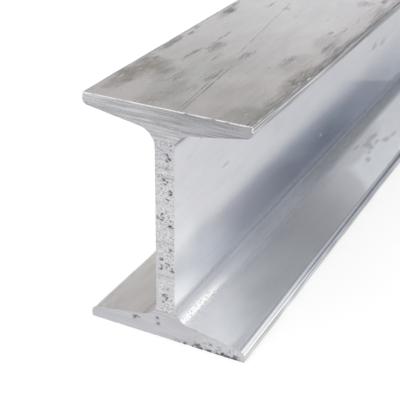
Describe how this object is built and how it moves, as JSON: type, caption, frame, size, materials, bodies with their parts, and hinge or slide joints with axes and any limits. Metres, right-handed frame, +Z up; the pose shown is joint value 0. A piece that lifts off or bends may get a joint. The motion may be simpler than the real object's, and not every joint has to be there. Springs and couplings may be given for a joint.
{
  "type": "steel i-beam",
  "caption": "Rolled I-section bar with tapered flanges, cut square at both ends, for use as a beam, post or support.",
  "frame": {"origin": "middle of the underside of the lower flange, half way along the beam", "axes": "+X across the flanges, +Y along the beam, +Z up through the web from the lower flange to the upper one"},
  "size_m": [0.071, 0.61, 0.1016],
  "materials": {
    "galvanised_steel": "satin"
  },
  "bodies": {
    "root": {"i_beam": "galvanised_steel"}
  },
  "joints": []
}
